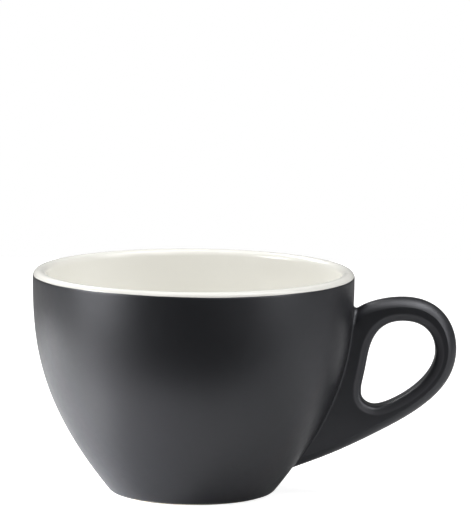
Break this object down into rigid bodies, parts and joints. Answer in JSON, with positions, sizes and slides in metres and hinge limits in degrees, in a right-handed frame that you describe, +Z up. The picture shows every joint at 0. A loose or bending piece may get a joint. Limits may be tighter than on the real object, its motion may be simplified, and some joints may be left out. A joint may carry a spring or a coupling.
{
  "type": "coffee cup",
  "caption": "Low rounded ceramic coffee cup, charcoal outside and cream inside, with a flat-sided loop handle luted to its wall.",
  "frame": {"origin": "on the table, under the middle of the cup's length and width; the bowl's own axis stands 15.3 mm from it towards -X", "axes": "+Z up out of the bowl, +X from the bowl's axis out through the handle, +Y completes the set, away from the side in the picture"},
  "size_m": [0.1266, 0.096, 0.067],
  "materials": {
    "stoneware": "bare fired clay, matt",
    "slip": "bare fired slip, matt",
    "cream_glaze": "cream-white, gloss",
    "charcoal_glaze": "charcoal, satin matt"
  },
  "bodies": {
    "root": {"bowl": "stoneware", "handle": "stoneware", "luting_slip": "slip", "inner_glaze": "cream_glaze", "outer_glaze": "charcoal_glaze", "underside_glaze": "charcoal_glaze", "handle_glaze": "charcoal_glaze"}
  },
  "joints": []
}
